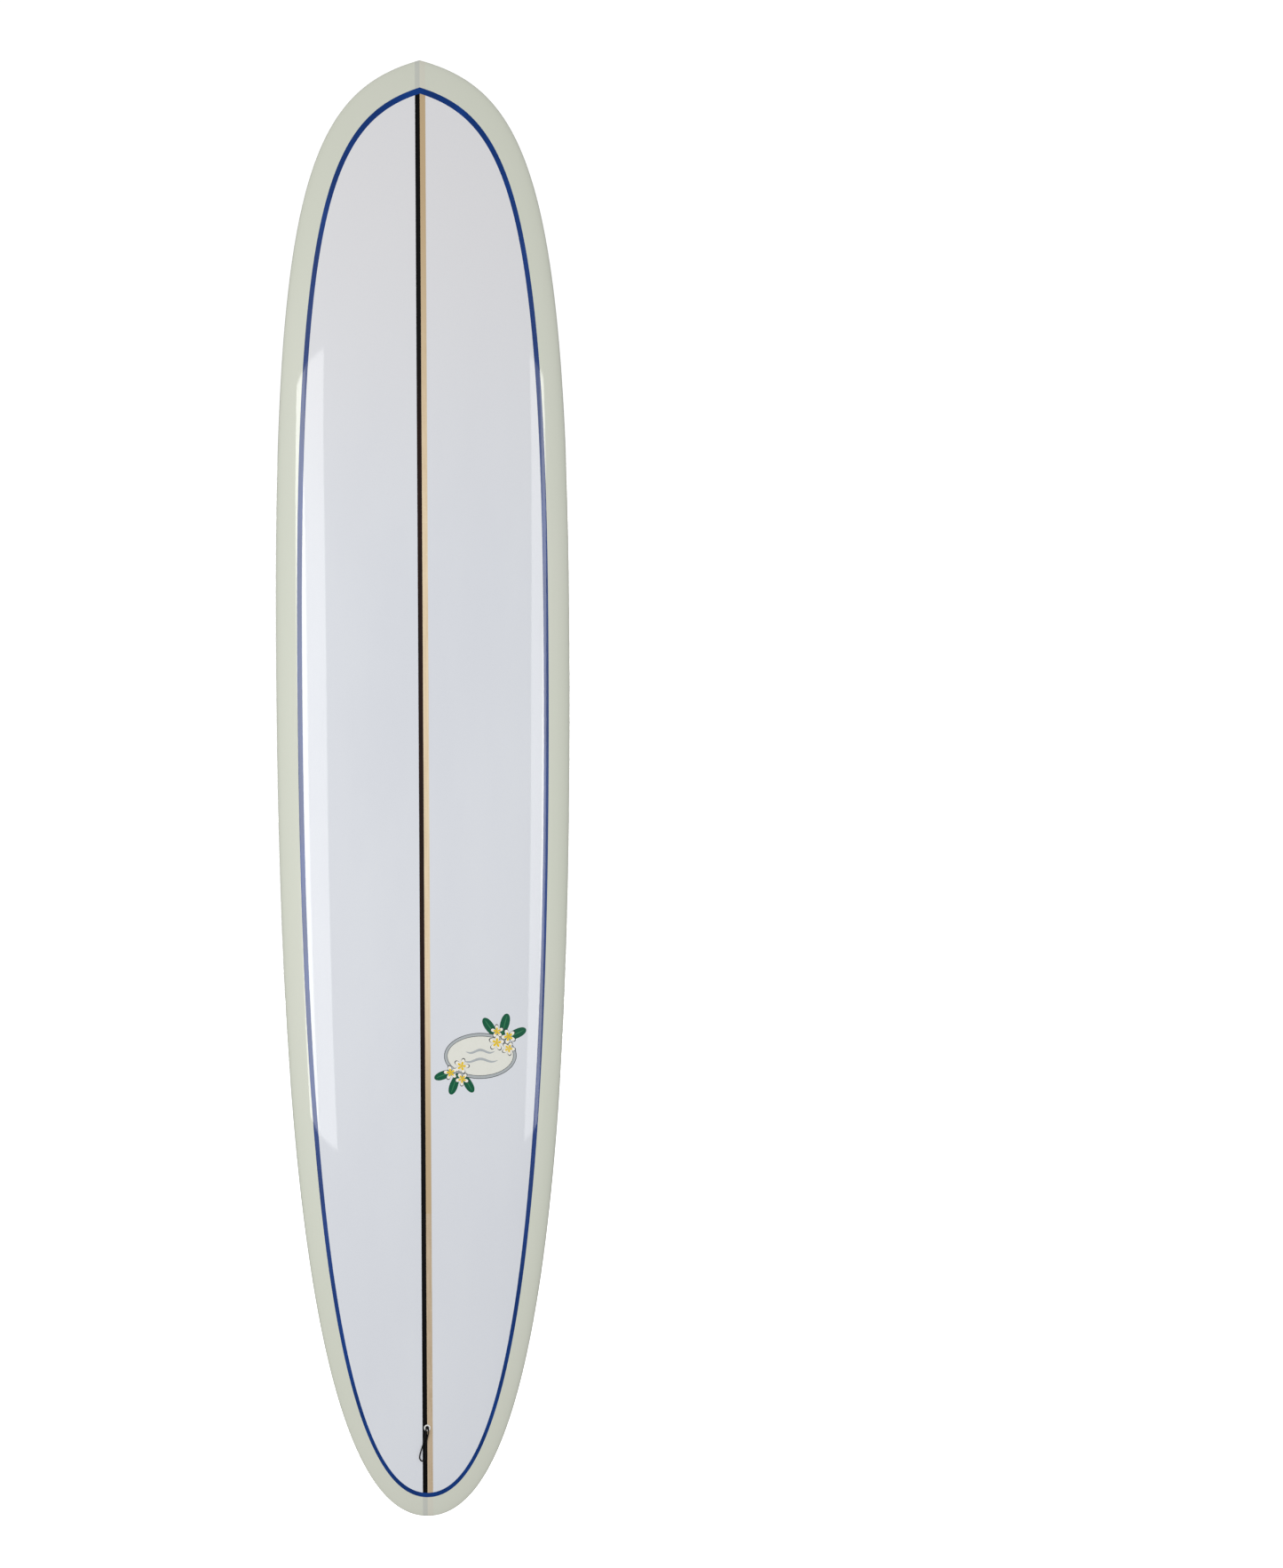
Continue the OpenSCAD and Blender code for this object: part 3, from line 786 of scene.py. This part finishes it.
def make_hull():
    """Tinted glass over the bottom, round the rails and onto the deck as far as the pinline."""
    deck_side = ring_shares(DECK_DOME, BAND_SHARE, 1, 18)
    bottom_side = ring_shares(BOTTOM_BELLY, 0, 1, 46)[::-1][1:]
    rings = [ring_points(AROUND, True, u) for u in deck_side]
    rings += [ring_points(AROUND, False, u) for u in bottom_side]
    count = len(rings[0])
    faces, indices = [], []
    for r in range(len(rings) - 1):
        for k in range(count):
            n = (k + 1) % count
            faces.append((r * count + k, r * count + n, (r + 1) * count + n, (r + 1) * count + k))
            indices.append(0 if r < len(deck_side) + BAND_TURN_ROWS else 1)
    hull = new_object(
        "tinted_glass_hull", np.vstack(rings), faces, [tinted_band(), tinted_bottom()], indices
    )
    weld(hull, SEAM_WELD)
    face_outwards(hull, 1)
    thicken(hull, SHELL_T)
    cut(hull, fin_box_cutter())
    sharpen(hull)
    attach(hull, "board")
    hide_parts("bottom_laminate", "bottom_gloss")


def make_pinline():
    """A raised line of resin over the cut edge of the tinted glass."""
    proud, sunk = 0.05, -0.35
    outer, inner = BAND_SHARE + PIN_HALF, BAND_SHARE - PIN_HALF
    profile = ((inner, sunk), (inner, proud * 0.6), (inner + PIN_HALF * 0.3, proud))
    profile += ((outer - PIN_HALF * 0.3, proud), (outer, proud * 0.6), (outer, sunk))
    rings = [ring_points(AROUND, True, u, lift) for u, lift in profile]
    count = len(rings[0])
    faces = []
    for r in range(len(rings)):
        m = (r + 1) % len(rings)
        for k in range(count):
            n = (k + 1) % count
            faces.append((r * count + k, r * count + n, m * count + n, m * count + k))
    line = weld(new_object("pinline_resin", np.vstack(rings), faces, [resin_line()]))
    sharpen(line, 60)
    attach(line, "board")
    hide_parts("pinline")


# ---- patches that follow the skin ----


# How far a patch's underside lies in the glass, in millimetres
PATCH_SUNK = -0.25
# Heights over the skin, in millimetres, where inks that overlap never lie level
LEAF_LIFT = 0.03
VEIN_LIFT = 0.045
BADGE_LIFT = 0.06
BADGE_STEP = 0.012
RIPPLE_LIFT = 0.108
PETAL_LIFTS = (0.115, 0.13, 0.145)
PETAL_STEP = 0.002
OVAL_LIFT = 0.03
OVAL_STEP = 0.015
WAVE_LIFT = 0.1
TAIL_CLOTH_LIFT = 0.03
TAIL_CLOTH_T = 0.3
# The ring of the bottom's skin that the tail cloth's curved edge follows
TAIL_CLOTH_SHARE = 0.8


def patch(name, outline, centre, deck, lift, material, rings=9):
    """A thin closed sheet over the skin, inside an outline of (across, along) points in mm."""
    edge = np.array(outline, float)
    middle = np.array(centre, float)
    count = len(edge)
    shares = np.linspace(0, 1, rings + 1)[1:]
    flat = np.vstack([middle[None]] + [middle + (edge - middle) * g for g in shares])
    top = on_skin(flat[:, 1], flat[:, 0], deck, lift)
    low = on_skin(flat[:, 1], flat[:, 0], deck, PATCH_SUNK)
    faces = []
    size = len(flat)
    for layer in (0, size):
        for k in range(count):
            n = (k + 1) % count
            faces.append((layer, layer + 1 + k, layer + 1 + n))
            for r in range(rings - 1):
                a = layer + 1 + r * count
                faces.append((a + k, a + count + k, a + count + n, a + n))
    rim = 1 + (rings - 1) * count
    for k in range(count):
        n = (k + 1) % count
        faces.append((rim + k, size + rim + k, size + rim + n, rim + n))
    obj = weld(new_object(name, np.vstack((top, low)), faces, [material]))
    return sharpen(obj, 60)


def oval(centre, width, height, count=96):
    angles = np.linspace(0, 2 * math.pi, count, endpoint=False)
    return [(centre[0] + width / 2 * math.cos(a), centre[1] + height / 2 * math.sin(a)) for a in angles]


def leaf(root, length, width, degrees, count=40):
    a = np.linspace(0, 2 * math.pi, count, endpoint=False)
    along = length / 2 * (1 - np.cos(a))
    across = width / 2 * np.sin(a) * np.abs(np.sin(a / 2))
    turn = math.radians(degrees)
    x = root[0] + along * math.cos(turn) - across * math.sin(turn)
    s = root[1] + along * math.sin(turn) + across * math.cos(turn)
    middle = (root[0] + length / 2 * math.cos(turn), root[1] + length / 2 * math.sin(turn))
    return list(zip(x.tolist(), s.tolist())), middle


def wave(centre, length, half, thick=7.0):
    """Half of a low wave, a bar that thins towards its tip."""
    run = np.linspace(0, 1, 24)
    x = centre[0] + half * run * length / 2
    mid = centre[1] + 3.0 * np.cos(run * math.pi * 1.5)
    body = thick / 2 * (1 - run**3)
    upper = list(zip(x, mid + body))
    lower = list(zip(x[::-1], (mid - body)[::-1]))
    at = len(run) // 2
    return upper + lower[1:], (float(x[at]), float(mid[at]))


def keep_patch(obj, node):
    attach(obj, "board")
    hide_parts(node)


def merge(name, pieces):
    """Joins patches into one object, keeping each one's material."""
    points, faces, indices, materials = [], [], [], []
    for piece in pieces:
        mesh = piece.data
        ink = mesh.materials[0]
        if ink not in materials:
            materials.append(ink)
        faces += [tuple(len(points) + i for i in f.vertices) for f in mesh.polygons]
        indices += [materials.index(ink)] * len(mesh.polygons)
        points += [tuple(v.co) for v in mesh.vertices]
        bpy.data.objects.remove(piece)
    return sharpen(new_object(name, points, faces, materials, indices), 60)


def make_deck_emblem():
    """A plain oval badge with two sprays of leaves and small five-petalled flowers."""
    cx, cs = DECK_EMBLEM_AT
    green = printed("leaf_ink", (0, 96, 64), (8, 112, 76))
    vein = printed("vein_ink", (60, 140, 92), (40, 122, 82))
    cream = printed("badge_paper", (240, 240, 230), (232, 231, 218))
    line = printed("badge_line_ink", (70, 76, 78), (92, 98, 100))
    silver = printed("badge_border_ink", (184, 190, 192), (168, 174, 177))
    petal = printed("petal_ink", (252, 249, 238), (246, 240, 214))
    pollen = printed("pollen_ink", (244, 206, 30), (230, 184, 22))
    sprays = (
        ((cx + 40, cs + 28), 58, 24, (25, 75, 125)),
        ((cx - 42, cs - 26), 54, 22, (200, 250, 300)),
    )
    for spray, (root, length, width, angles) in enumerate(sprays):
        pieces = []
        for angle in angles:
            outline, middle = leaf(root, length, width, angle)
            pieces.append(patch("leaf", outline, middle, True, LEAF_LIFT, green))
            outline, middle = leaf(root, length * 0.92, width * 0.09, angle)
            pieces.append(patch("vein", outline, middle, True, VEIN_LIFT, vein, 3))
        keep_patch(merge(f"deck_emblem_leaves_{spray}", pieces), "deck_emblem")
    rims = ((146, 92, line), (143.6, 89.6, silver), (134, 80, line), (132, 78, cream))
    pieces = []
    for k, (width, height, ink) in enumerate(rims):
        outline = oval(DECK_EMBLEM_AT, width, height)
        pieces.append(patch("rim", outline, DECK_EMBLEM_AT, True, BADGE_LIFT + BADGE_STEP * k, ink))
    for offset, length in ((9, 60), (-9, 72)):
        for half in (-1, 1):
            outline, middle = wave((cx, cs + offset), length, half, 5.0)
            pieces.append(patch("ripple", outline, middle, True, RIPPLE_LIFT, silver, 4))
    keep_patch(merge("deck_emblem_badge", pieces), "deck_emblem")
    flowers = (
        (33, 26, 15, 10), (57, 38, 14.5, 40), (57, 14, 13, 64), (34, 49, 12.5, 22),
        (-38, -20, 14.5, 0), (-60, -33, 13.5, 30), (-37, -46, 13, 50),
    )
    for flower, (x, s, r, turn) in enumerate(flowers):
        pieces = []
        for k in range(5):
            angle = turn + 72 * k
            for grow, lift, ink in zip((1.14, 1.0, 0.62), PETAL_LIFTS, (line, petal, pollen)):
                outline, middle = leaf((cx + x, cs + s), r * grow, 0.66 * r * grow, angle, 24)
                pieces.append(patch("petal", outline, middle, True, lift + PETAL_STEP * k, ink, 4))
        keep_patch(merge(f"deck_emblem_flower_{flower}", pieces), "deck_emblem")


def make_bottom_emblem():
    """A plain oval badge with bands and three waves."""
    cx, cs = BOTTOM_EMBLEM_AT
    dark = printed("line_ink", (46, 42, 40), (70, 64, 60))
    ochre = printed("ochre_ink", (190, 130, 40), (202, 146, 62))
    white = printed("white_ink", (240, 238, 230), (228, 224, 212))
    teal = printed("teal_ink", (0, 128, 148), (24, 146, 162))
    rims = ((302, 119, dark), (299, 116, ochre), (244, 80, white), (238, 75, ochre))
    for k, (width, height, ink) in enumerate(rims):
        outline = oval(BOTTOM_EMBLEM_AT, width, height)
        name = f"bottom_emblem_oval_{k}"
        lift = OVAL_LIFT + OVAL_STEP * k
        piece = patch(name, outline, BOTTOM_EMBLEM_AT, False, lift, ink, 14)
        keep_patch(piece, "bottom_emblem")
    for k, (offset, length) in enumerate(((18, 150), (0, 190), (-18, 150))):
        for side, half in (("l", -1), ("r", 1)):
            name = f"bottom_emblem_wave_{k}{side}"
            outline, middle = wave((cx, cs + offset), length, half)
            piece = patch(name, outline, middle, False, WAVE_LIFT, teal, 4)
            keep_patch(piece, "bottom_emblem")


def make_tail_patch():
    """An extra layer of cloth over the tail's bottom, with a straight edge across the board."""
    shares = ring_shares(BOTTOM_BELLY, 0.02, TAIL_CLOTH_SHARE, 26)
    rows = np.linspace(14, TAIL_PATCH_L, 60)
    across = np.concatenate((-shares[::-1], [0], shares)) / TAIL_CLOTH_SHARE
    width = []
    for s in rows:
        low, high = 0.0, float(half_width(s))
        for _ in range(30):
            x = (low + high) / 2
            inside = share_at(np.array([s]), np.array([x]))[0] < TAIL_CLOTH_SHARE
            low, high = (x, high) if inside else (low, x)
        width.append(low)
    x = np.outer(width, across)
    s = np.repeat(rows[:, None], len(across), axis=1)
    cols = len(across)
    points = on_skin(s.ravel(), x.ravel(), False, TAIL_CLOTH_LIFT)
    faces = []
    for r in range(len(rows) - 1):
        for c in range(cols - 1):
            a = r * cols + c
            faces.append((a, a + cols, a + cols + 1, a + 1))
    cloth = weld(new_object("tail_patch_cloth", points, faces, [tail_cloth()]), SEAM_WELD)
    face_outwards(cloth, 1)
    thicken(cloth, TAIL_CLOTH_T)
    cut(cloth, fin_box_cutter())
    sharpen(cloth)
    keep_patch(cloth, "tail_patch")


# ---- CAD nodes that stay ----


def finish_cad_nodes():
    nodes = frame["nodes"]
    finishes = {
        "foam_left": foam(),
        "stringer_dark": wood("dark_wood", *DARK_WOOD),
        "stringer_light_aft": wood("light_wood_aft", *AFT_WOOD),
        "stringer_light_fore": wood("light_wood_fore", *FORE_WOOD),
        "fin_box": box_plastic(),
        "fin_box_bed": bare_glass("fin_box_resin", (222, 216, 196), (206, 200, 178)),
        "fin_plate": metal("blackened_plate", (26, 26, 28), (14, 14, 15), 0.42, 0.7),
        "fin_screw": metal("blackened_screw", (34, 34, 37), (18, 18, 20), 0.34, 0.8),
        "leash_cup": moulded_white(),
        "leash_cup_bed": bare_glass("plug_resin", (222, 216, 196), (206, 200, 178)),
        "leash_pin": metal("stainless_pin", (206, 208, 212), (170, 172, 176), 0.25),
    }
    finishes["foam_right"] = finishes["foam_left"]
    for name, material in finishes.items():
        mesh = nodes[name].data
        mesh.materials.clear()
        mesh.materials.append(material)
    bevel(nodes["fin_box"], 0.35)
    bevel(nodes["fin_plate"], 0.3)
    bevel(nodes["fin_screw"], 0.15)
    bevel(nodes["leash_cup"], 0.3)


# ---- stage and light ----

FLOOR_RADIUS = 9.0  # in metres
ROOM_LIGHT = 0.515
ROOM_REFLECTION = 0.04
ROOM_SHOWN = 1.05


def make_stage():
    """A pale round floor just under the tail tip, bright enough to meet the white surround."""
    floor_z = cad_bounds[0].z - 0.002
    rim = [(x, y, floor_z) for x, y in circle(2 * FLOOR_RADIUS)]
    p = Paint("pale_floor", roughness=0.75, specular=0.1)
    p.colour(p.mix(p.step(p.noise(1.5), 0.3, 0.7), (246, 246, 246), (242, 242, 242)))
    p.set("Emission Color", (1, 1, 1, 1))
    p.set("Emission Strength", 0.95)
    floor = new_object("floor", rim, [tuple(range(len(rim)))], [p.material], smooth=False)
    floor.visible_diffuse = False
    floor.visible_glossy = False


def make_world():
    """A white surround, which lights the board evenly and is dark in its reflections."""
    world = bpy.data.worlds.new("surround")
    bpy.context.scene.world = world
    world.use_nodes = True
    nodes, links = world.node_tree.nodes, world.node_tree.links
    rays = nodes.new("ShaderNodeLightPath").outputs

    def background(tone, strength):
        light = nodes.new("ShaderNodeBackground")
        light.inputs["Color"].default_value = (*tone, 1)
        light.inputs["Strength"].default_value = strength
        return light.outputs[0]

    def seen_by(ray, seen, otherwise):
        mix = nodes.new("ShaderNodeMixShader")
        links.new(rays[ray], mix.inputs[0])
        links.new(otherwise, mix.inputs[1])
        links.new(seen, mix.inputs[2])
        return mix.outputs[0]

    cool = (0.98, 0.985, 1)
    lit = background(cool, ROOM_LIGHT)
    lit = seen_by("Is Glossy Ray", background(cool, ROOM_REFLECTION), lit)
    lit = seen_by("Is Camera Ray", background((1, 1, 1), ROOM_SHOWN), lit)
    nodes.remove(nodes["Background"])
    links.new(lit, nodes["World Output"].inputs["Surface"])


def softbox(name, at, look, width, height, radiance, mirrored=True):
    data = bpy.data.lights.new(name, "AREA")
    data.shape = "RECTANGLE"
    data.size = width
    data.size_y = height
    data.energy = radiance * width * height * math.pi
    light = bpy.data.objects.new(name, data)
    light.location = at
    direction = Vector(look) - Vector(at)
    light.rotation_euler = direction.to_track_quat("-Z", "Y").to_euler()
    light.visible_camera = False
    light.visible_glossy = mirrored
    bpy.context.scene.collection.objects.link(light)


def make_lights():
    """Tall strip boxes before and behind the board, brighter at their outer edge, and a soft fill."""
    up, tall, away = 1.24, 2.56, 3.3
    for side, flip in (("front", 1), ("back", -1)):
        for name, x, width, radiance in (
            ("left_outer", -1.77, 0.5, 7.0),
            ("left_inner", -1.26, 0.5, 3.2),
            ("right_inner", 1.45, 0.34, 2.6),
            ("right_outer", 1.74, 0.22, 7.0),
        ):
            at = (flip * x, -flip * away, up)
            softbox(f"strip_{side}_{name}", at, (flip * x, 0, up), width, tall, radiance)
        fill_at = (-3.2 * flip, -2.4 * flip, up)
        softbox(f"fill_{side}", fill_at, (0, 0, up), 1.4, tall, 1.2, mirrored=False)


make_camera()
make_string()
make_deck_panel()
make_hull()
make_pinline()
make_tail_patch()
make_deck_emblem()
make_bottom_emblem()
finish_cad_nodes()
make_stage()
make_world()
make_lights()
bpy.context.scene.view_settings.view_transform = "Standard"
